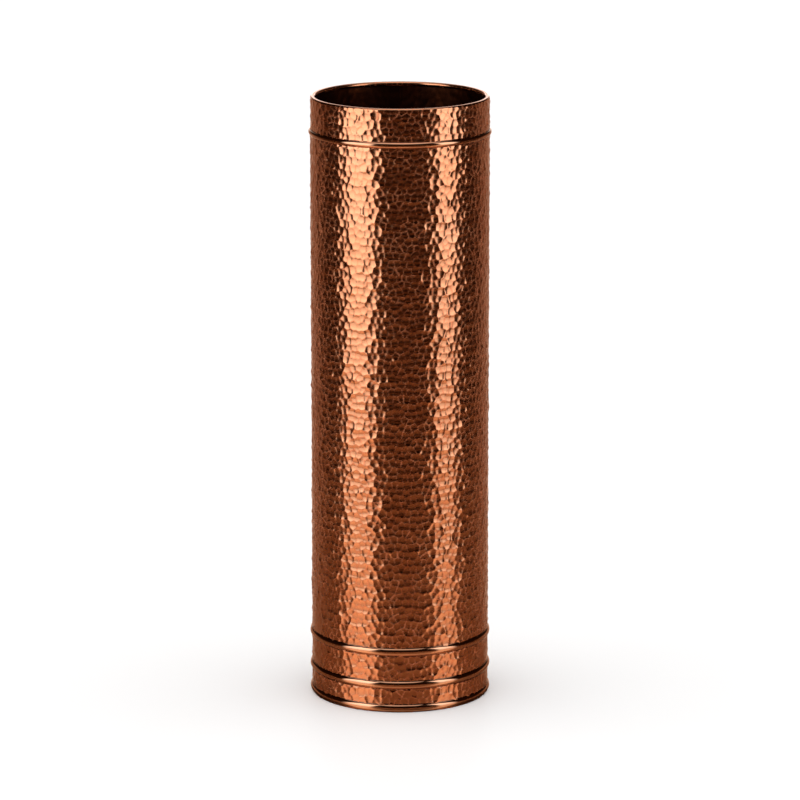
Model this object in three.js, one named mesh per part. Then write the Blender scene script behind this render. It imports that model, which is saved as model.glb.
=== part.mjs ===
// A tall hammered copper umbrella stand. The open cylinder is rolled from sheet copper, and its lip
// is curled inwards over a steel wire. Four low half-round bands are soldered round the outside: one
// near the top, two near the bottom and one as a foot. A flat disc, let in just above the floor and
// soldered all round inside, closes the bottom. Nothing on it moves.
//
// Millimetres, +Z up. The origin is the centre of the bottom, on the floor.

import * as THREE from 'three';

// Driving dimensions.
const HEIGHT = 610;
const OUTER_RADIUS = 89;
const SHEET = 0.8;
const JOINT_GAP = 0.3;

const ROLL_RADIUS = 2.4;
const ROLL_TURN = THREE.MathUtils.degToRad(300);
const WIRE_GAP = 0.2;

const NECK_BAND_HEIGHT = 6.8;
const BASE_BAND_HEIGHT = 8.8;
const BAND_PROJECTION = 2.1;
const NECK_BAND_Z = 574.2;
const UPPER_BASE_BAND_Z = 62.4;
const LOWER_BASE_BAND_Z = 28.2;
const FOOT_BAND_Z = 4;

const BASE_SHEET = 1.2;
const BASE_RECESS = 2;
const PANEL_RADIUS = 62;
const PANEL_RISE = 1;
const PANEL_STEP = 3;
const SOLDER_REACH = 4;

// How finely round shapes are faceted.
const SEGMENTS = 60;
const ROLL_STEPS = 10;
const WIRE_SIDES = 8;
const BAND_STEPS = 6;
const FILLET_STEPS = 4;

// Dimensions that follow from the driving ones.
const INNER_RADIUS = OUTER_RADIUS - SHEET;
const ROLL_CENTRE = new THREE.Vector2(OUTER_RADIUS - ROLL_RADIUS, HEIGHT - ROLL_RADIUS);
const WIRE_RADIUS = ROLL_RADIUS - SHEET - WIRE_GAP;
const BAND_INNER_RADIUS = OUTER_RADIUS + JOINT_GAP;
const BAND_DEPTH = BAND_PROJECTION - JOINT_GAP;
const BASE_RADIUS = INNER_RADIUS - JOINT_GAP;
const BASE_TOP_Z = BASE_RECESS + BASE_SHEET;

const QUARTER_TURN = Math.PI / 2;
const FULL_TURN = Math.PI * 2;

const HAMMERED_COPPER = new THREE.MeshStandardMaterial({ color: 0xc9744a, roughness: 0.3, metalness: 1 });
const POLISHED_COPPER = new THREE.MeshStandardMaterial({ color: 0xd98250, roughness: 0.15, metalness: 1 });
const BASE_COPPER = new THREE.MeshStandardMaterial({ color: 0x9c5636, roughness: 0.4, metalness: 1 });
const STEEL = new THREE.MeshStandardMaterial({ color: 0x8c8c8c, roughness: 0.4, metalness: 1 });
const SOLDER = new THREE.MeshStandardMaterial({ color: 0xa8a49c, roughness: 0.45, metalness: 1 });

// Points along an arc of an ellipse, in the (radius, z) plane, both ends included.
function arc(centre, radii, from, to, steps) {
  const points = [];
  for (let step = 0; step <= steps; step += 1) {
    const angle = from + (to - from) * step / steps;
    points.push(new THREE.Vector2(
      centre.x + radii.x * Math.cos(angle),
      centre.y + radii.y * Math.sin(angle),
    ));
  }
  return points;
}

function roundArc(centre, radius, from, to, steps) {
  return arc(centre, new THREE.Vector2(radius, radius), from, to, steps);
}

// Turns a (radius, z) profile about Z. It must start and end on the axis, or close on itself.
function turned(profile) {
  return new THREE.LatheGeometry(profile, SEGMENTS).rotateX(QUARTER_TURN);
}

// Turns a profile that stands clear of the axis, after joining its end to its start.
function turnedRing(profile) {
  return turned([...profile, profile[0].clone()]);
}

// The cylinder wall and its lip, which curls over the wire and stops just short of the wall.
function bodyShell() {
  return turnedRing([
    new THREE.Vector2(OUTER_RADIUS, 0),
    ...roundArc(ROLL_CENTRE, ROLL_RADIUS, 0, ROLL_TURN, ROLL_STEPS),
    ...roundArc(ROLL_CENTRE, ROLL_RADIUS - SHEET, ROLL_TURN, 0, ROLL_STEPS),
    new THREE.Vector2(INNER_RADIUS, 0),
  ]);
}

// The stiffening wire inside the rolled lip.
function rimWire() {
  const oneSide = FULL_TURN / WIRE_SIDES;
  return turnedRing(roundArc(ROLL_CENTRE, WIRE_RADIUS, 0, FULL_TURN - oneSide, WIRE_SIDES - 1));
}

// A half-round band round the wall, flat side in. Its outer face is half an ellipse, which starts
// at the angle given, so that the foot's can be cut off flat on the floor.
function bandFace(centreZ, height, from) {
  const centre = new THREE.Vector2(BAND_INNER_RADIUS, centreZ);
  const radii = new THREE.Vector2(BAND_DEPTH, height / 2);
  return arc(centre, radii, from, QUARTER_TURN, BAND_STEPS);
}

function halfRoundBand(centreZ, height) {
  return turnedRing(bandFace(centreZ, height, -QUARTER_TURN));
}

function footBand() {
  const floorAngle = -Math.asin(FOOT_BAND_Z / (BASE_BAND_HEIGHT / 2));
  return turnedRing([
    new THREE.Vector2(BAND_INNER_RADIUS, 0),
    ...bandFace(FOOT_BAND_Z, BASE_BAND_HEIGHT, floorAngle),
  ]);
}

// The base: a disc of thicker sheet, with a raised centre panel to stiffen it.
function basePlate() {
  return turned([
    new THREE.Vector2(0, BASE_RECESS + PANEL_RISE),
    new THREE.Vector2(PANEL_RADIUS - PANEL_STEP, BASE_RECESS + PANEL_RISE),
    new THREE.Vector2(PANEL_RADIUS, BASE_RECESS),
    new THREE.Vector2(BASE_RADIUS, BASE_RECESS),
    new THREE.Vector2(BASE_RADIUS, BASE_TOP_Z),
    new THREE.Vector2(PANEL_RADIUS, BASE_TOP_Z),
    new THREE.Vector2(PANEL_RADIUS - PANEL_STEP, BASE_TOP_Z + PANEL_RISE),
    new THREE.Vector2(0, BASE_TOP_Z + PANEL_RISE),
  ]);
}

// The solder in the corner between base and wall, hollow on its inner face.
function baseSolder() {
  const bedZ = BASE_TOP_Z + JOINT_GAP;
  const hollowCentre = new THREE.Vector2(BASE_RADIUS - SOLDER_REACH, bedZ + SOLDER_REACH);
  return turnedRing([
    new THREE.Vector2(BASE_RADIUS, bedZ),
    ...roundArc(hollowCentre, SOLDER_REACH, 0, -QUARTER_TURN, FILLET_STEPS),
  ]);
}

function named(name, geometry, material) {
  const mesh = new THREE.Mesh(geometry, material);
  mesh.name = name;
  return mesh;
}

const stand = new THREE.Group();
stand.name = 'umbrella_stand';
stand.add(
  named('body_shell', bodyShell(), HAMMERED_COPPER),
  named('rim_wire', rimWire(), STEEL),
  named('neck_band', halfRoundBand(NECK_BAND_Z, NECK_BAND_HEIGHT), POLISHED_COPPER),
  named('base_band_upper', halfRoundBand(UPPER_BASE_BAND_Z, BASE_BAND_HEIGHT), POLISHED_COPPER),
  named('base_band_lower', halfRoundBand(LOWER_BASE_BAND_Z, BASE_BAND_HEIGHT), POLISHED_COPPER),
  named('foot_band', footBand(), POLISHED_COPPER),
  named('base_plate', basePlate(), BASE_COPPER),
  named('base_solder', baseSolder(), SOLDER),
);

export default stand;
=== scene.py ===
import math

import bpy
import numpy as np
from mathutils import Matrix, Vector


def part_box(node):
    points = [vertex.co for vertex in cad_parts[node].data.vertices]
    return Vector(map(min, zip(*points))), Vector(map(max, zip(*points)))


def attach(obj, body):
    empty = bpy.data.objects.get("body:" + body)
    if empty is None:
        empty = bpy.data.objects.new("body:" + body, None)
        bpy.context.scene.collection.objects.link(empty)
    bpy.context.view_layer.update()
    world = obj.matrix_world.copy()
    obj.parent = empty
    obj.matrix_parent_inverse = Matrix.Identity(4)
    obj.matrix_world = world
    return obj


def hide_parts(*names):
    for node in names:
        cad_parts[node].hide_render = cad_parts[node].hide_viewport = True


# A tall hammered copper umbrella stand, standing on a pale floor in a dim studio. Two tall softboxes
# stand in front of it, one on each side, two narrow ones stand behind it, and a broad one hangs
# overhead. The metal also sees a pale backdrop behind the stand. Metres throughout.

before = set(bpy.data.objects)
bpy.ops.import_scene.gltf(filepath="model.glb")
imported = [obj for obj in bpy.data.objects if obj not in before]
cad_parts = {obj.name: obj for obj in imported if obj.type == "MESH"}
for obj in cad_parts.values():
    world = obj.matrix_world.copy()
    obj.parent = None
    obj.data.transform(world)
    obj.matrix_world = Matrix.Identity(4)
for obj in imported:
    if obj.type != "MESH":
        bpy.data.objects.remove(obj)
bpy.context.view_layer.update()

ROOT = "root"
FULL_TURN = 2 * math.pi
HALF_TURN = math.pi
QUARTER_TURN = math.pi / 2
BACK = QUARTER_TURN

# The stand, measured from the frame.
SHELL_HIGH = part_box("body_shell")[1]
WALL_RADIUS = SHELL_HIGH.x
HEIGHT = SHELL_HIGH.z
PLATE_LOW, PLATE_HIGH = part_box("base_plate")
SOLDER_LOW, SOLDER_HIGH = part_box("base_solder")
WIRE_LOW, WIRE_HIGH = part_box("rim_wire")

# Sheet and lip.
SHEET = 0.0008
ROLL_RADIUS = 0.0024
ROLL_TURN = math.radians(300)
EDGE_BEVEL = 0.00015

# The lip's wire.
WIRE_SIDES = 16
WIRE_COLUMNS = 180

# How finely the wall is divided. The last rows are its foot, and the last of the curl's outer rows
# take the inside's dark patina with its painted shade.
WALL_ROW = 0.00085
WALL_COLUMNS = 660
INSIDE_ROW = 0.0022
CURL_STEPS = 22
UNDER_CURL_STEPS = 14
FOOT_ROWS = 3
HIDDEN_CURL_ROWS = 2

# Hammer marks. Each blow leaves a shallow round bowl, and the bowls meet in ridges.
MARK_WIDTH = 0.0063
MARK_HEIGHT = 0.0072
MARK_JITTER = 0.30
MARK_STAGGER = 0.5
MARK_REACH = 2
HAMMER_SEED = 11
SPARE_ROWS = 3
BOWL_RADIUS = 0.023
BOWL_RADIUS_SPREAD = 0.2
BOWL_DEPTH = 0.00045
BOWL_DEPTH_SPREAD = 0.25
BOWL_EDGE = 0.0005
BOWL_TILT = 0.045
CREST_DROP = 0.00017
HAMMER_RISE = 0.00028
INSIDE_SHARE = 0.6
LIP_HAMMER_SHARE = 0.06
LIP_FADE_RATE = 5

# Unevenness is a sum of waves, each range being the fewest and the most waves round the stand. It is
# set back by about its own peak, so that it stays inside the CAD's surface.
WAVE_PEAK = 2.5
FINE_WAVE_SET_BACK = 2
SHEET_WAVE = 0.00012
SWELLS_ROUND = (2, 9)
SWELLS_UP = (1, 4)
SWELL_RADIANS_PER_METRE = 9

# The brazed seam up the back, and the joint in each band and in the wire.
SEAM_WIDTH = 0.0007
SEAM_DEPTH = 0.00012
JOINT_WIDTH = 0.0005
JOINT_DEPTH = 0.00045
JOINT_COLUMNS = 17
JOINT_REACH = 2
JOINT_CLEARANCE = 1 / 3

# The smooth bands.
BAND_COLUMNS = 480
BAND_STEPS = 30
BAND_FILLET_STEPS = 6
BAND_BACK_STEPS = 6
BAND_WAVE = 0.00005
BAND_WAVES_ROUND = (2, 24)
BAND_BED = 0.0004
BAND_FILLET_SHARE = 0.24
# Painted shade along each band's edges, where it meets the wall: the height that sets its fade, and its
# strength at the wall.
PAINTED_SHADE_HEIGHT = 0.0004
PAINTED_SHADE_FADE = 1.6
FIRST_BAND_SEED = 20

# The bottom, and the solder that holds it in.
BASE_SHEET = 0.0012
BASE_BUCKLE = 0.00008
BUCKLES_ROUND = (2, 5)
PANEL_RADIUS = 0.062
PANEL_STEP = 0.003
PANEL_ROWS = 30
PANEL_STEP_ROWS = 5
RIM_ROWS = 10
BASE_COLUMNS = 240
JOINT_GAP = 0.0003
SOLDER_LUMP = 0.0001
LUMPS_ROUND = (6, 40)
SOLDER_STEPS = 14
SOLDER_BED_STEPS = 6
SOLDER_COLUMNS = 360

CAMERA_DISTANCE = 4.3
CAMERA_HEIGHT = 1.2906
CAMERA_PITCH = math.radians(12.97)
CAMERA_LENS = 197.6
CAMERA_SENSOR = 36
CAMERA_SEES_TO = 40

FLOOR_RADIUS = 14.0
FLOOR_SIDES = 96

# A softbox's watts, for each square metre and each unit of radiance.
WATTS_PER_RADIANCE = 4

# The softboxes. Azimuths are in degrees from the camera, minus to its left.
FRONT_BOX = {"distance": 1.0, "height": 1.5, "centre_z": 0.76}
LEFT_BOX = {"azimuth": -53, "width": 0.88, "radiance": 1.24}
LEFT_SOFT_SHARE = 0.45
RIGHT_BOX = {"azimuth": 60, "width": 0.60, "radiance": 1.12}
RIGHT_SOFT_SHARE = 0.55
FOOT_SHARE = 0.55
FOOT_FADE = (0, 0.55)
BACK_AZIMUTH = 171
BACK_BOX = {"distance": 1.2, "width": 0.16, "height": 1.4, "centre_z": 0.80, "radiance": 0.5}
OVERHEAD_BOX = {"width": 1.0, "height": 2.7, "centre_z": 1.42, "radiance": 0.18}
OVERHEAD_BEHIND = 0.15


# ---------------------------------------------------------------- shapes


def waves(angle, lowest, highest, seed):
    """A smooth wavy value, about 1 in size, that repeats once round the stand."""
    rng = np.random.default_rng(seed)
    total = np.zeros_like(angle)
    for count in range(lowest, highest + 1):
        total += rng.normal() * np.sin(count * angle + rng.uniform(0, FULL_TURN))
    return total / math.sqrt((highest - lowest + 1) / 2)


def even_columns(count):
    """Angles round the stand, evenly spaced."""
    return np.arange(count) * FULL_TURN / count


def columns_round(count, fine_at, fine_width):
    """Evenly spaced angles, with a few more across a joint."""
    even = even_columns(count)
    extra = fine_at + np.linspace(-JOINT_REACH, JOINT_REACH, JOINT_COLUMNS) * fine_width
    spacing = FULL_TURN / count
    clear = np.abs(even - fine_at) > JOINT_REACH * fine_width + JOINT_CLEARANCE * spacing
    return np.sort(np.concatenate([even[clear], extra]))


def round_arc(centre_r, centre_z, radius, start, end, steps):
    angle = np.linspace(start, end, steps + 1)
    return np.stack([centre_r + radius * np.cos(angle), centre_z + radius * np.sin(angle)], axis=1)


def straight(start, end, steps=1):
    """Points from start up to, but without, end."""
    share = np.arange(steps)[:, None] / steps
    return np.array(start) * (1 - share) + np.array(end) * share


def profile_normals(profile):
    """Unit normals of a closed (radius, z) profile, pointing to the right of its direction."""
    along = np.roll(profile, -1, axis=0) - np.roll(profile, 1, axis=0)
    normal = np.stack([along[:, 1], -along[:, 0]], axis=1)
    return normal / np.linalg.norm(normal, axis=1, keepdims=True)


def mesh_object(name, points, faces):
    """A smooth-shaded mesh object from point places and faces of three or four points."""
    mesh = bpy.data.meshes.new(name)
    mesh.vertices.add(len(points))
    mesh.vertices.foreach_set("co", points.astype(np.float32).ravel())
    sizes = np.array([len(block[0]) for block in faces for _ in range(len(block))])
    corners = np.concatenate([np.asarray(block).ravel() for block in faces])
    mesh.loops.add(len(corners))
    mesh.loops.foreach_set("vertex_index", corners.astype(np.int32))
    mesh.polygons.add(len(sizes))
    starts = np.concatenate([[0], np.cumsum(sizes)[:-1]])
    mesh.polygons.foreach_set("loop_start", starts.astype(np.int32))
    mesh.polygons.foreach_set("use_smooth", np.ones(len(sizes), dtype=bool))
    mesh.update(calc_edges=True)
    mesh.validate()
    piece = bpy.data.objects.new(name, mesh)
    bpy.context.scene.collection.objects.link(piece)
    return piece


def quads(rows, columns, closed):
    """Faces of a grid whose columns wrap round, and whose rows wrap round if it is closed."""
    lines = rows if closed else rows - 1
    column, row = np.meshgrid(np.arange(columns), np.arange(lines), indexing="ij")
    column, row = column.ravel(), row.ravel()
    next_column = (column + 1) % columns
    next_row = (row + 1) % rows
    corners = [column * rows + row, next_column * rows + row]
    corners += [next_column * rows + next_row, column * rows + next_row]
    return np.stack(corners, axis=1)


def places(radius, height, angles):
    """Points from a radius and a height for each column and row."""
    across = radius * np.cos(angles)[:, None]
    deep = radius * np.sin(angles)[:, None]
    return np.stack([across, deep, height], axis=2).reshape(-1, 3)


def turned_ring(name, profile, angles, relief=None):
    """Turns a closed profile about Z. relief moves each point along the profile's normal."""
    radius = np.repeat(profile[None, :, 0], len(angles), axis=0)
    height = np.repeat(profile[None, :, 1], len(angles), axis=0)
    if relief is not None:
        normal = profile_normals(profile)
        radius = radius + relief * normal[None, :, 0]
        height = height + relief * normal[None, :, 1]
    faces = quads(len(profile), len(angles), closed=True)
    return mesh_object(name, places(radius, height, angles), [faces])


def turned_disc(name, profile, angles, relief):
    """Turns a profile that starts and ends on the axis about Z. relief raises each point."""
    inner = profile[1:-1]
    radius = np.repeat(inner[None, :, 0], len(angles), axis=0)
    height = inner[None, :, 1] + relief[:, 1:-1]
    ends = np.array([[0, 0, profile[0, 1]], [0, 0, profile[-1, 1]]])
    points = np.concatenate([places(radius, height, angles), ends])
    rows, columns = len(inner), len(angles)
    first_end, last_end = rows * columns, rows * columns + 1
    here = np.arange(columns)
    after = (here + 1) % columns
    here_row, after_row = here * rows, after * rows
    start_fan = np.stack([np.full(columns, first_end), after_row, here_row], axis=1)
    to_end = rows - 1
    end_fan = np.stack([np.full(columns, last_end), here_row + to_end, after_row + to_end], axis=1)
    return mesh_object(name, points, [quads(rows, columns, closed=False), start_fan, end_fan])


def store(piece, name, values):
    """Keeps one number per point on the mesh, for its material to read."""
    attribute = piece.data.attributes.new(name, "FLOAT", "POINT")
    attribute.data.foreach_set("value", values.astype(np.float32).ravel())


# ---------------------------------------------------------------- hammer marks


def hammered(around, up):
    """The hammered surface's height, and how near each place is to a ridge.

    The marks stand in staggered rows, each a little out of place and with its own depth, width and
    lean. The surface is the deepest of the bowls over a point, so two bowls meet in a sharp ridge.
    On a ridge the two deepest bowls are level, which gives a crest of one, falling to nought
    beside it.
    """
    rng = np.random.default_rng(HAMMER_SEED)
    columns = round(FULL_TURN * WALL_RADIUS / MARK_WIDTH)
    width = FULL_TURN * WALL_RADIUS / columns
    rows = math.ceil(HEIGHT / MARK_HEIGHT) + 2 * SPARE_ROWS
    shape = (rows, columns)
    aside = rng.uniform(-MARK_JITTER, MARK_JITTER, shape) * width
    above = rng.uniform(-MARK_JITTER, MARK_JITTER, shape) * MARK_HEIGHT
    depth = BOWL_DEPTH * (1 + BOWL_DEPTH_SPREAD * rng.uniform(-1, 1, shape))
    curve = BOWL_RADIUS * (1 + BOWL_RADIUS_SPREAD * rng.uniform(-1, 1, shape))
    lean_around = BOWL_TILT * rng.uniform(-1, 1, shape)
    lean_up = BOWL_TILT * rng.uniform(-1, 1, shape)

    near_row = np.floor(up / MARK_HEIGHT).astype(int) + SPARE_ROWS
    surface = np.full(np.broadcast(around, up).shape, MARK_HEIGHT)
    runner_up = surface.copy()
    for row_step in range(-MARK_REACH, MARK_REACH + 1):
        row = np.clip(near_row + row_step, 0, rows - 1)
        stagger = MARK_STAGGER * (row % 2)
        near_column = np.floor(around / width - stagger).astype(int)
        for column_step in range(-MARK_REACH, MARK_REACH + 1):
            column = near_column + column_step
            wrapped = column % columns
            centre_around = (column + 0.5 + stagger) * width + aside[row, wrapped]
            centre_up = (row + 0.5 - SPARE_ROWS) * MARK_HEIGHT + above[row, wrapped]
            step_around, step_up = around - centre_around, up - centre_up
            squared = step_around ** 2 + step_up ** 2
            leaning = step_around * lean_around[row, wrapped] + step_up * lean_up[row, wrapped]
            steeper = squared ** 2 * BOWL_EDGE / MARK_WIDTH ** 4
            bowl = squared / (2 * curve[row, wrapped]) + steeper + leaning - depth[row, wrapped]
            runner_up = np.minimum(runner_up, np.maximum(surface, bowl))
            surface = np.minimum(surface, bowl)
    crest = np.exp(-((runner_up - surface) / CREST_DROP) ** 2)
    return surface, crest


def groove(angles, radius, centre, width):
    """One at the centre of an upright groove, and falling to nought beside it."""
    aside = (angles - centre) * radius
    return np.exp(-(aside / (width / 2)) ** 2)


# ---------------------------------------------------------------- pieces


def shell_profile():
    """The sheet's section: up the outside, over and round the lip, down the inside, and the foot.

    Also gives the number of rows up the outside, over the curl and under it.
    """
    roll_r = WALL_RADIUS - ROLL_RADIUS
    roll_z = HEIGHT - ROLL_RADIUS
    inside_r = WALL_RADIUS - SHEET
    wall_rows = round(roll_z / WALL_ROW)
    inside_rows = round(roll_z / INSIDE_ROW)
    outside = straight((WALL_RADIUS, EDGE_BEVEL), (WALL_RADIUS, roll_z), wall_rows)
    over = round_arc(roll_r, roll_z, ROLL_RADIUS, 0, ROLL_TURN, CURL_STEPS)
    under = round_arc(roll_r, roll_z, ROLL_RADIUS - SHEET, ROLL_TURN, 0, UNDER_CURL_STEPS)
    inside = straight((inside_r, roll_z), (inside_r, EDGE_BEVEL), inside_rows)[1:]
    foot = np.array([
        (inside_r, EDGE_BEVEL),
        (inside_r + EDGE_BEVEL, 0),
        (WALL_RADIUS - EDGE_BEVEL, 0),
    ])
    return np.concatenate([outside, over, under, inside, foot]), len(outside), len(over), len(under)


def make_shell():
    profile, outside, over, under = shell_profile()
    angles = columns_round(WALL_COLUMNS, BACK, SEAM_WIDTH / WALL_RADIUS)
    around = angles[:, None] * WALL_RADIUS
    up = profile[None, :, 1]
    marks, crest = hammered(around, up)
    row = np.arange(len(profile))
    over_end = outside + over
    under_end = over_end + under

    hammer_share = np.zeros(len(profile))
    hammer_share[:outside] = 1
    along_curl = (row[outside:over_end] - outside) / over
    hammer_share[outside:over_end] = np.clip(1 - LIP_FADE_RATE * along_curl, LIP_HAMMER_SHARE, 1)
    hammer_share[under_end:] = -INSIDE_SHARE
    hammer_share[-FOOT_ROWS:] = 0
    relief = (marks + HAMMER_RISE) * hammer_share[None, :]

    swell_round = waves(angles, *SWELLS_ROUND, seed=5)[:, None]
    swell = swell_round * waves(up * SWELL_RADIANS_PER_METRE, *SWELLS_UP, seed=6)
    wall_share = np.where(row < outside, 1, 0) - np.where(row >= under_end, 1, 0)
    wall_share[-FOOT_ROWS:] = 0
    relief += (swell / WAVE_PEAK - 1) * SHEET_WAVE * wall_share
    seam = groove(angles, WALL_RADIUS, BACK, SEAM_WIDTH)[:, None]
    relief -= seam * SEAM_DEPTH * np.abs(wall_share)

    piece = turned_ring("hammered_wall", profile, angles, relief)
    store(piece, "dent", -marks / BOWL_DEPTH + np.zeros_like(relief))
    store(piece, "crest", crest + np.zeros_like(relief))
    store(piece, "seam", seam + np.zeros_like(relief))
    face_row = np.arange(len(piece.data.polygons)) % len(profile)
    slots = np.where(face_row >= over_end - HIDDEN_CURL_ROWS, 1, 0)
    piece.data.materials.append(hammered_copper())
    piece.data.materials.append(inside_copper_painted_shade())
    piece.data.polygons.foreach_set("material_index", slots.astype(np.int32))
    return piece


def make_wire():
    radius = (WIRE_HIGH.z - WIRE_LOW.z) / 2
    centre_r = WIRE_HIGH.x - radius
    centre_z = (WIRE_HIGH.z + WIRE_LOW.z) / 2
    section = round_arc(centre_r, centre_z, radius, 0, FULL_TURN, WIRE_SIDES)[:-1]
    angles = columns_round(WIRE_COLUMNS, BACK, JOINT_WIDTH / centre_r)
    piece = turned_ring("lip_wire", section, angles)
    piece.data.materials.append(steel())
    return piece


def band_profile(node, like):
    """A round bulge with small hollow fillets where it meets the wall. Its height is that of like.

    The foot's lower half reaches the floor, so it is cut off flat there.
    """
    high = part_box(node)[1]
    like_low, like_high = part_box(like)
    half = (like_high.z - like_low.z) / 2
    projection = high.x - WALL_RADIUS
    edge = 2 * math.atan(projection / half)
    both_radii = half / math.sin(edge)
    fillet = both_radii * BAND_FILLET_SHARE
    radius = both_radii - fillet
    centre_r = high.x - radius
    centre_z = high.z - half
    face = round_arc(centre_r, centre_z, radius, -edge, edge, BAND_STEPS)
    fillet_r = WALL_RADIUS + fillet
    lean = HALF_TURN - edge
    upper = round_arc(fillet_r, centre_z + half, fillet, -lean, -HALF_TURN, BAND_FILLET_STEPS)[1:]
    lower = round_arc(fillet_r, centre_z - half, fillet, HALF_TURN, lean, BAND_FILLET_STEPS)[:-1]
    outline = np.concatenate([lower, face, upper])
    above_floor = outline[:, 1] > EDGE_BEVEL
    if not above_floor.all():
        outline = outline[above_floor]
        outline = np.concatenate([[(outline[0, 0] - EDGE_BEVEL, 0)], outline])
    inner = WALL_RADIUS - BAND_BED
    back = straight((inner, outline[-1, 1]), (inner, outline[0, 1]), BAND_BACK_STEPS)
    return np.concatenate([outline, back, [(inner, outline[0, 1])]])


def make_band(name, node, like, joint, seed, finish):
    """A band that is slightly uneven, with a joint in it and painted shade along its edges, where it
    meets the wall.
    """
    profile = band_profile(node, like)
    angles = columns_round(BAND_COLUMNS, joint, JOINT_WIDTH / WALL_RADIUS)
    wobble = waves(angles, *BAND_WAVES_ROUND, seed)[:, None]
    projection = profile[:, 0].max() - WALL_RADIUS
    outward = np.clip((profile[None, :, 0] - WALL_RADIUS) / projection, 0, 1)
    outward[:, profile[:, 1] < 2 * EDGE_BEVEL] = 0
    gap = groove(angles, WALL_RADIUS, joint, JOINT_WIDTH)[:, None]
    relief = ((wobble - FINE_WAVE_SET_BACK) * BAND_WAVE - gap * JOINT_DEPTH) * outward
    piece = turned_ring(name, profile, angles, relief)
    store(piece, "seam", gap + np.zeros_like(relief))
    # Painted shade, darkest where the band meets the wall and gone about 0.6 mm out from it.
    painted_edge_shade = np.clip(PAINTED_SHADE_FADE - outward * projection / PAINTED_SHADE_HEIGHT, 0, 1)
    store(piece, "painted_edge_shade", painted_edge_shade + np.zeros_like(relief))
    piece.data.materials.append(finish)
    return piece


def make_base():
    """A disc with a raised centre panel, whose two faces are the same shape."""
    low, top, rim = PLATE_LOW.z, PLATE_HIGH.z, PLATE_HIGH.x
    panel_under = top - BASE_SHEET
    disc_top = low + BASE_SHEET
    shoulder = PANEL_RADIUS - PANEL_STEP
    profile = np.concatenate([
        straight((0, panel_under), (shoulder, panel_under), PANEL_ROWS),
        straight((shoulder, panel_under), (PANEL_RADIUS, low), PANEL_STEP_ROWS),
        straight((PANEL_RADIUS, low), (rim - EDGE_BEVEL, low), RIM_ROWS),
        straight((rim - EDGE_BEVEL, low), (rim, low + EDGE_BEVEL)),
        straight((rim, low + EDGE_BEVEL), (rim, disc_top - EDGE_BEVEL), steps=2),
        straight((rim, disc_top - EDGE_BEVEL), (rim - EDGE_BEVEL, disc_top)),
        straight((rim - EDGE_BEVEL, disc_top), (PANEL_RADIUS, disc_top), RIM_ROWS),
        straight((PANEL_RADIUS, disc_top), (shoulder, top), PANEL_STEP_ROWS),
        straight((shoulder, top), (0, top), PANEL_ROWS),
        [(0, top)],
    ])
    angles = even_columns(BASE_COLUMNS)
    radius = profile[None, :, 0]
    from_rim = np.clip((rim - radius) / PANEL_RADIUS, 0, 1)
    buckle = waves(angles, *BUCKLES_ROUND, seed=31)[:, None] * from_rim * radius / PANEL_RADIUS
    relief = BASE_BUCKLE * (buckle - WAVE_PEAK * from_rim)
    piece = turned_disc("base_disc", profile, angles, relief)
    piece.data.materials.append(base_copper())
    return piece


def make_solder():
    """A lumpy fillet in the corner, hollow on its inner face."""
    low, top, wall = SOLDER_LOW.z - JOINT_GAP, SOLDER_HIGH.z, SOLDER_HIGH.x + JOINT_GAP
    reach = top - low
    hollow = round_arc(wall - reach, low + reach, reach, 0, -QUARTER_TURN, SOLDER_STEPS)
    bed = straight((wall - reach, low), (wall, low), SOLDER_BED_STEPS)[1:]
    back = straight((wall, low), (wall, low + reach), SOLDER_BED_STEPS)
    profile = np.concatenate([hollow, bed, back])
    angles = even_columns(SOLDER_COLUMNS)
    lump = waves(angles, *LUMPS_ROUND, seed=41)[:, None]
    on_face = np.zeros(len(profile))
    on_face[1:len(hollow) - 1] = 1
    relief = (lump - FINE_WAVE_SET_BACK) * SOLDER_LUMP * on_face[None, :]
    piece = turned_ring("solder_fillet", profile, angles, relief)
    piece.data.materials.append(solder())
    return piece


# ---------------------------------------------------------------- material helpers


# Ranges of a noise, which lies mostly between 0.3 and 0.7.
MIDDLE = (0.35, 0.65)
BROAD_MIDDLE = (0.3, 0.7)
UPPER_MIDDLE = (0.35, 0.7)

# How far a colour shows through, from none of it to all of it.
NONE_TO_ALL = (0, 1)
ALL_TO_NONE = (1, 0)


def link(tree, output, node, name):
    tree.links.new(output, node.inputs[name])


def material(name):
    made = bpy.data.materials.new(name)
    made.use_nodes = True
    return made, made.node_tree, made.node_tree.nodes["Principled BSDF"]


def noise(tree, scale, detail, stretch=(1, 1, 1)):
    """Noise over the object's own places, with scale in features per metre."""
    place = tree.nodes.new("ShaderNodeTexCoord")
    mapping = tree.nodes.new("ShaderNodeMapping")
    mapping.inputs["Scale"].default_value = stretch
    link(tree, place.outputs["Object"], mapping, "Vector")
    texture = tree.nodes.new("ShaderNodeTexNoise")
    texture.inputs["Scale"].default_value = scale
    texture.inputs["Detail"].default_value = detail
    texture.inputs["Roughness"].default_value = 0.55
    link(tree, mapping.outputs["Vector"], texture, "Vector")
    return texture.outputs["Fac"]


def spread(tree, value, over, onto):
    """Maps the range over to the range onto, smoothly and held at the ends."""
    node = tree.nodes.new("ShaderNodeMapRange")
    node.interpolation_type = "SMOOTHSTEP"
    node.inputs["From Min"].default_value = over[0]
    node.inputs["From Max"].default_value = over[1]
    node.inputs["To Min"].default_value = onto[0]
    node.inputs["To Max"].default_value = onto[1]
    link(tree, value, node, "Value")
    return node.outputs["Result"]


def mixed(tree, share, first, second):
    """Mixes two colours. Each is an output or three numbers."""
    node = tree.nodes.new("ShaderNodeMix")
    node.data_type = "RGBA"
    tree.links.new(share, node.inputs[0])
    for socket, colour in ((node.inputs[6], first), (node.inputs[7], second)):
        if isinstance(colour, tuple):
            socket.default_value = (*colour, 1)
        else:
            tree.links.new(colour, socket)
    return node.outputs[2]


def attribute(tree, name):
    node = tree.nodes.new("ShaderNodeAttribute")
    node.attribute_name = name
    return node.outputs["Fac"]


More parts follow.
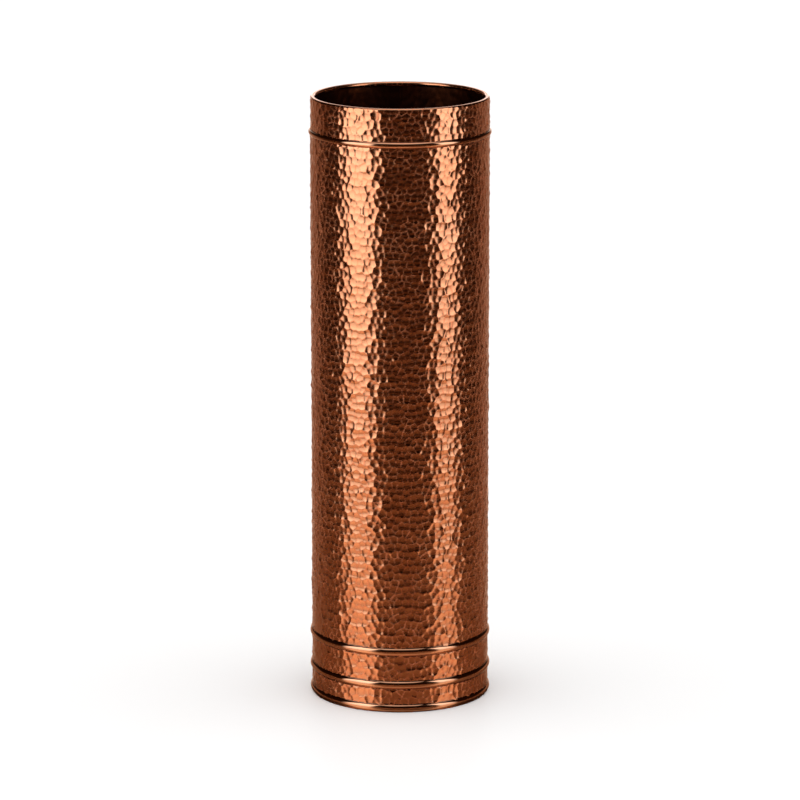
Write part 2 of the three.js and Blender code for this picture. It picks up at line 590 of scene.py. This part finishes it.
def math_node(tree, operation, *values):
    """A sum or product and the like. Each value is an output or a number."""
    node = tree.nodes.new("ShaderNodeMath")
    node.operation = operation
    for socket, value in zip(node.inputs, values):
        if isinstance(value, (int, float)):
            socket.default_value = value
        else:
            tree.links.new(value, socket)
    return node.outputs[0]


def vector_node(tree, operation, vector, result):
    """A length or direction and the like. result names the output that it gives."""
    node = tree.nodes.new("ShaderNodeVectorMath")
    node.operation = operation
    tree.links.new(vector, node.inputs[0])
    return node.outputs[result]


def split_vector(tree, vector):
    node = tree.nodes.new("ShaderNodeSeparateXYZ")
    link(tree, vector, node, "Vector")
    return node.outputs


def bump(tree, shader, height, strength, distance):
    node = tree.nodes.new("ShaderNodeBump")
    node.inputs["Strength"].default_value = strength
    node.inputs["Distance"].default_value = distance
    link(tree, height, node, "Height")
    link(tree, node.outputs["Normal"], shader, "Normal")


def lacquer(shader, roughness):
    shader.inputs["Coat Weight"].default_value = 0.25
    shader.inputs["Coat Roughness"].default_value = roughness
    shader.inputs["Coat IOR"].default_value = 1.5


# ---------------------------------------------------------------- finishes


def hammered_copper():
    """Bright in the bowls, and worn duller and redder along the ridges."""
    pale, deep = (0.95, 0.44, 0.24), (0.90, 0.385, 0.195)
    in_bowls, on_ridges = (0.82, 0.31, 0.14), (0.98, 0.29, 0.125)
    tarnish, braze = (0.66, 0.24, 0.11), (0.72, 0.42, 0.14)
    made, tree, shader = material("hammered_copper")
    cloud = noise(tree, scale=22, detail=5)
    speck = noise(tree, scale=260, detail=3)
    dent = attribute(tree, "dent")
    crest = attribute(tree, "crest")
    seam = attribute(tree, "seam")
    warm = mixed(tree, spread(tree, cloud, MIDDLE, NONE_TO_ALL), pale, deep)
    toned = mixed(tree, spread(tree, dent, over=(0.1, 0.9), onto=(0, 0.2)), warm, in_bowls)
    rubbed = mixed(tree, spread(tree, crest, over=(0.2, 0.9), onto=(0, 0.8)), toned, on_ridges)
    tarnished = mixed(tree, spread(tree, speck, over=(0.55, 0.75), onto=(0, 0.35)), rubbed, tarnish)
    brazed = mixed(tree, spread(tree, seam, over=(0.3, 0.9), onto=(0, 0.8)), tarnished, braze)
    link(tree, brazed, shader, "Base Color")
    patchy = spread(tree, noise(tree, scale=70, detail=2), MIDDLE, onto=(0.5, 1))
    scuffed = math_node(tree, "MULTIPLY", crest, patchy)
    link(tree, spread(tree, scuffed, over=(0.15, 0.9), onto=(1, 0.80)), shader, "Metallic")
    worn = spread(tree, crest, over=(0.2, 0.9), onto=(0.09, 0.22))
    rough = math_node(tree, "ADD", worn, spread(tree, speck, BROAD_MIDDLE, onto=(0, 0.06)))
    link(tree, rough, shader, "Roughness")
    lacquer(shader, roughness=0.08)
    bump(tree, shader, noise(tree, scale=900, detail=2), strength=0.12, distance=0.0002)
    return made


def inside_copper_painted_shade():
    """Dark patina, darkened further as painted shade inside the tube, and unpolished, with tarnish in
    upright streaks.
    """
    # Patina browns darkened further as painted shade inside the tube, and a darker tarnish.
    brown, dark_brown, tarnish = (0.13, 0.034, 0.012), (0.07, 0.020, 0.009), (0.045, 0.015, 0.008)
    made, tree, shader = material("inside_copper_painted_shade")
    cloud = noise(tree, scale=30, detail=6)
    streak = noise(tree, scale=90, detail=4, stretch=(1, 1, 0.08))
    dark = mixed(tree, spread(tree, cloud, UPPER_MIDDLE, NONE_TO_ALL), brown, dark_brown)
    tarnished = mixed(tree, spread(tree, streak, over=(0.45, 0.7), onto=(0, 0.6)), dark, tarnish)
    link(tree, tarnished, shader, "Base Color")
    shader.inputs["Metallic"].default_value = 1
    link(tree, spread(tree, cloud, BROAD_MIDDLE, onto=(0.32, 0.5)), shader, "Roughness")
    bump(tree, shader, noise(tree, scale=500, detail=3), strength=0.2, distance=0.0003)
    return made


def polished_copper():
    """Buffed round the stand, with painted shade along the edges where the band meets the wall, and a
    dark line in each joint.
    """
    pale, deep = (0.96, 0.50, 0.30), (0.92, 0.44, 0.25)
    # The first colour is painted shade along the edges, the second the dark line in each joint.
    edge_shade_colour, joint_line = (0.12, 0.045, 0.022), (0.10, 0.04, 0.02)
    made, tree, shader = material("buffed_copper")
    cloud = noise(tree, scale=40, detail=4)
    buffed = noise(tree, scale=60, detail=3, stretch=(1, 1, 40))
    bright = mixed(tree, spread(tree, cloud, MIDDLE, NONE_TO_ALL), pale, deep)
    # Painted shade along the edges, where the band meets the wall.
    painted_edge_shade = spread(tree, attribute(tree, "painted_edge_shade"), over=(0.1, 0.9), onto=(0, 0.85))
    edge_shaded = mixed(tree, painted_edge_shade, bright, edge_shade_colour)
    seam = spread(tree, attribute(tree, "seam"), over=(0.35, 0.8), onto=NONE_TO_ALL)
    joined = mixed(tree, seam, edge_shaded, joint_line)
    link(tree, joined, shader, "Base Color")
    shader.inputs["Metallic"].default_value = 1
    link(tree, spread(tree, buffed, BROAD_MIDDLE, onto=(0.05, 0.09)), shader, "Roughness")
    lacquer(shader, roughness=0.05)
    bump(tree, shader, buffed, strength=0.05, distance=0.0001)
    return made


def base_copper():
    """Dull sheet, stained in clouds and scuffed one way."""
    clean, stained, scuff_mark = (0.60, 0.21, 0.09), (0.30, 0.11, 0.055), (0.80, 0.32, 0.15)
    made, tree, shader = material("base_copper")
    cloud = noise(tree, scale=35, detail=6)
    scuff = noise(tree, scale=140, detail=5, stretch=(1, 6, 1))
    dull = mixed(tree, spread(tree, cloud, UPPER_MIDDLE, NONE_TO_ALL), clean, stained)
    scuffed = mixed(tree, spread(tree, scuff, over=(0.6, 0.72), onto=(0, 0.7)), dull, scuff_mark)
    link(tree, scuffed, shader, "Base Color")
    shader.inputs["Metallic"].default_value = 1
    link(tree, spread(tree, cloud, BROAD_MIDDLE, onto=(0.28, 0.46)), shader, "Roughness")
    bump(tree, shader, scuff, strength=0.15, distance=0.0002)
    return made


def grey_metal(name, scale, detail, colours, roughness):
    """A grey metal that is clouded in both colour and roughness."""
    made, tree, shader = material(name)
    cloud = noise(tree, scale, detail)
    link(tree, mixed(tree, spread(tree, cloud, MIDDLE, NONE_TO_ALL), *colours), shader, "Base Color")
    shader.inputs["Metallic"].default_value = 1
    link(tree, spread(tree, cloud, BROAD_MIDDLE, roughness), shader, "Roughness")
    return made, tree, shader


def solder():
    greys = ((0.42, 0.41, 0.38), (0.24, 0.22, 0.20))
    made, tree, shader = grey_metal("dull_solder", 120, 5, greys, roughness=(0.35, 0.6))
    bump(tree, shader, noise(tree, scale=400, detail=3), strength=0.3, distance=0.0003)
    return made


def steel():
    greys = ((0.40, 0.39, 0.38), (0.22, 0.19, 0.17))
    return grey_metal("drawn_steel", 200, 4, greys, roughness=(0.3, 0.5))[0]


# ---------------------------------------------------------------- stage, lights and camera


# What the metal sees of the floor, which is painted light and shade: a painted shadow at the stand's
# foot, a painted pool of light round it, dimming further out, a little brighter far off, and paler
# behind. Each fade's start and end is in metres from the stand's axis.
FOOT_SHADE, FOOT_SHADE_FADE = (0.02, 0.008, 0.003), (0.092, 0.108)
FLOOR_GLOW, FLOOR_GLOW_FADE = (0.45, 0.20, 0.08), (0.16, 0.40)
NEAR_FLOOR, DIM_FLOOR, NEAR_FLOOR_FADE = (0.37, 0.16, 0.062), (0.04, 0.017, 0.007), (0.3, 2.2)
FAR_FLOOR, FAR_FLOOR_FADE = (0.18, 0.075, 0.032), (3.0, 8.0)
REAR_FLOOR, REAR_FLOOR_FADE = (0.60, 0.33, 0.21), (0.2, 0.9)
FLOOR_MIRROR = 0.62
MIRROR_TINT = (0.95, 0.66, 0.45, 1)

# What the metal sees of the room, with each fade in parts of a direction.
ROOM, BACKDROP = (0.010, 0.004, 0.0015), (0.95, 0.93, 0.90)
FRONT_HORIZON, REAR_HORIZON = (0.08, 0.033, 0.014), (0.30, 0.18, 0.12)
HORIZON_FADE, REAR_HORIZON_FADE = (0.04, 0.18), (0.35, 0.9)
BACKDROP_SIDE_FADE, BACKDROP_TOP_FADE, BACKDROP_REAR_FADE = (0.15, 0.40), (0.35, 0.6), (0.3, 0.6)

# How the room lights matt surfaces, which is mostly the floor.
SOFT_LIGHT, SIDE_LIGHT, FRONT_LIGHT = (0.93,) * 3, (1.66,) * 3, (1.60,) * 3
SIDE_LIGHT_FADE, FRONT_LIGHT_FADE, FRONT_LIGHT_SHARE = (0.2, 0.9), (-0.7, 0.1), 0.25


def seen_in_metal(tree, place):
    """The floor's colour in the metal, from its distance and direction from the stand, with its light and
    shade painted in.
    """
    away = vector_node(tree, "LENGTH", place, "Value")
    middle = mixed(tree, spread(tree, away, NEAR_FLOOR_FADE, NONE_TO_ALL), NEAR_FLOOR, DIM_FLOOR)
    glow = mixed(tree, spread(tree, away, FLOOR_GLOW_FADE, ALL_TO_NONE), middle, FLOOR_GLOW)
    near = mixed(tree, spread(tree, away, FOOT_SHADE_FADE, ALL_TO_NONE), glow, FOOT_SHADE)
    far = mixed(tree, spread(tree, away, FAR_FLOOR_FADE, NONE_TO_ALL), near, FAR_FLOOR)
    backward = split_vector(tree, vector_node(tree, "NORMALIZE", place, "Vector"))["Y"]
    return mixed(tree, spread(tree, backward, REAR_FLOOR_FADE, NONE_TO_ALL), far, REAR_FLOOR)


def floor_material():
    """Pale and matt to the camera. In the metal it is a polished, warm floor with painted light and
    shade: dim far off, a painted pool of light round the stand and a painted shadow at its foot.
    """
    made, tree, shader = material("pale_floor")
    in_metal = tree.nodes.new("ShaderNodeLightPath").outputs["Is Glossy Ray"]
    place = tree.nodes.new("ShaderNodeTexCoord").outputs["Object"]
    cloud = noise(tree, scale=3, detail=2)
    pale = mixed(tree, cloud, (0.93, 0.93, 0.93), (0.95, 0.95, 0.95))
    link(tree, mixed(tree, in_metal, pale, seen_in_metal(tree, place)), shader, "Base Color")
    shader.inputs["Roughness"].default_value = 0.5
    shader.inputs["Specular IOR Level"].default_value = 0.2
    polish = tree.nodes.new("ShaderNodeBsdfPrincipled")
    polish.inputs["Base Color"].default_value = MIRROR_TINT
    polish.inputs["Metallic"].default_value = 1
    link(tree, spread(tree, cloud, BROAD_MIDDLE, onto=(0.24, 0.30)), polish, "Roughness")
    blend = tree.nodes.new("ShaderNodeMixShader")
    link(tree, math_node(tree, "MULTIPLY", in_metal, FLOOR_MIRROR), blend, "Fac")
    tree.links.new(shader.outputs["BSDF"], blend.inputs[1])
    tree.links.new(polish.outputs["BSDF"], blend.inputs[2])
    link(tree, blend.outputs["Shader"], tree.nodes["Material Output"], "Surface")
    return made


def make_floor():
    angles = even_columns(FLOOR_SIDES)
    ring = np.stack([np.cos(angles), np.sin(angles), np.zeros(FLOOR_SIDES)], axis=1) * FLOOR_RADIUS
    piece = mesh_object("floor", ring, [np.arange(FLOOR_SIDES)[None, :]])
    piece.data.materials.append(floor_material())
    return piece


def softbox(name, azimuth, distance, width, height, centre_z, radiance):
    """A tall light that faces the stand."""
    light = bpy.data.lights.new(name, "AREA")
    light.shape = "RECTANGLE"
    light.size = width
    light.size_y = height
    light.energy = radiance * WATTS_PER_RADIANCE * width * height
    lamp = bpy.data.objects.new(name, light)
    turn = math.radians(azimuth)
    lamp.location = (distance * math.sin(turn), -distance * math.cos(turn), centre_z)
    lamp.rotation_euler = (QUARTER_TURN, 0, turn)
    lamp.visible_camera = False
    lamp.visible_diffuse = False
    bpy.context.scene.collection.objects.link(lamp)
    return lamp


def feather(lamp, soft_share):
    """Dims a softbox towards its foot, and over soft_share of its width towards its sides."""
    turn = lamp.rotation_euler.z
    half_width = lamp.data.size / 2
    lamp.data.use_nodes = True
    tree = lamp.data.node_tree
    place = tree.nodes.new("ShaderNodeNewGeometry").outputs["Position"]
    rising = spread(tree, split_vector(tree, place)["Z"], FOOT_FADE, onto=(FOOT_SHARE, 1))
    across = vector_node(tree, "DOT_PRODUCT", place, "Value")
    across.node.inputs[1].default_value = (math.cos(turn), math.sin(turn), 0)
    sideways = math_node(tree, "ABSOLUTE", across)
    fading = spread(tree, sideways, (half_width * (1 - soft_share), half_width), ALL_TO_NONE)
    link(tree, math_node(tree, "MULTIPLY", rising, fading), tree.nodes["Emission"], "Strength")


def make_lights():
    feather(softbox("left_softbox", **LEFT_BOX, **FRONT_BOX), LEFT_SOFT_SHARE)
    feather(softbox("right_softbox", **RIGHT_BOX, **FRONT_BOX), RIGHT_SOFT_SHARE)
    softbox("back_left_softbox", azimuth=-BACK_AZIMUTH, **BACK_BOX)
    softbox("back_right_softbox", azimuth=BACK_AZIMUTH, **BACK_BOX)
    overhead = softbox("overhead_softbox", azimuth=0, distance=0, **OVERHEAD_BOX)
    overhead.data.spread = QUARTER_TURN
    overhead.rotation_euler = (0, 0, 0)
    overhead.location.y = OVERHEAD_BEHIND


def room_in_metal(tree, way, sideways):
    """A dark room with a warm horizon, and a pale backdrop low down behind the stand."""
    beside = spread(tree, sideways, BACKDROP_SIDE_FADE, ALL_TO_NONE)
    behind = spread(tree, way["Y"], BACKDROP_REAR_FADE, NONE_TO_ALL)
    low_down = spread(tree, way["Z"], BACKDROP_TOP_FADE, ALL_TO_NONE)
    backdrop = math_node(tree, "MULTIPLY", math_node(tree, "MULTIPLY", behind, low_down), beside)
    rear_share = spread(tree, way["Y"], REAR_HORIZON_FADE, NONE_TO_ALL)
    horizon = mixed(tree, rear_share, FRONT_HORIZON, REAR_HORIZON)
    room = mixed(tree, spread(tree, way["Z"], HORIZON_FADE, ALL_TO_NONE), ROOM, horizon)
    return mixed(tree, backdrop, room, BACKDROP)


def make_world():
    """White to the camera and to matt surfaces. In the metal it is dim, with a pale backdrop."""
    world = bpy.data.worlds.new("studio")
    bpy.context.scene.world = world
    world.use_nodes = True
    world.cycles.sampling_method = "NONE"
    tree = world.node_tree
    path = tree.nodes.new("ShaderNodeLightPath").outputs
    way = split_vector(tree, tree.nodes.new("ShaderNodeTexCoord").outputs["Generated"])
    sideways = math_node(tree, "ABSOLUTE", way["X"])
    from_sides = mixed(tree, spread(tree, sideways, SIDE_LIGHT_FADE, NONE_TO_ALL), SOFT_LIGHT, SIDE_LIGHT)
    front_share = spread(tree, way["Y"], FRONT_LIGHT_FADE, onto=(FRONT_LIGHT_SHARE, 0))
    on_matt = mixed(tree, front_share, from_sides, FRONT_LIGHT)
    in_metal = room_in_metal(tree, way, sideways)
    matt_or_metal = mixed(tree, path["Is Glossy Ray"], on_matt, in_metal)
    seen = mixed(tree, path["Is Camera Ray"], matt_or_metal, (1, 1, 1))
    background = tree.nodes["Background"]
    link(tree, seen, background, "Color")
    background.inputs["Strength"].default_value = 1


def make_camera():
    data = bpy.data.cameras.new("camera")
    data.lens = CAMERA_LENS
    data.sensor_width = CAMERA_SENSOR
    data.clip_end = CAMERA_SEES_TO
    camera = bpy.data.objects.new("camera", data)
    camera.location = (0, -CAMERA_DISTANCE, CAMERA_HEIGHT)
    camera.rotation_euler = (QUARTER_TURN - CAMERA_PITCH, 0, 0)
    bpy.context.scene.collection.objects.link(camera)
    bpy.context.scene.camera = camera


# ---------------------------------------------------------------- the stand


def stands_for(piece, node):
    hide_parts(node)
    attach(piece, ROOT)


make_camera()
make_world()
make_lights()
make_floor()

stands_for(make_shell(), "body_shell")
stands_for(make_wire(), "rim_wire")
stands_for(make_base(), "base_plate")
stands_for(make_solder(), "base_solder")

# Each band's name, its CAD node, the node that it is as tall as, and where its joint is.
BANDS = (
    ("neck_bead", "neck_band", "neck_band", BACK + 0.03),
    ("upper_base_bead", "base_band_upper", "base_band_upper", BACK - 0.05),
    ("lower_base_bead", "base_band_lower", "base_band_upper", BACK + 0.06),
    ("foot_bead", "foot_band", "base_band_upper", BACK - 0.02),
)
BAND_FINISH = polished_copper()
for number, (name, node, like, joint) in enumerate(BANDS):
    band = make_band(name, node, like, joint, FIRST_BAND_SEED + number, BAND_FINISH)
    stands_for(band, node)

bpy.context.scene.view_settings.view_transform = "Standard"
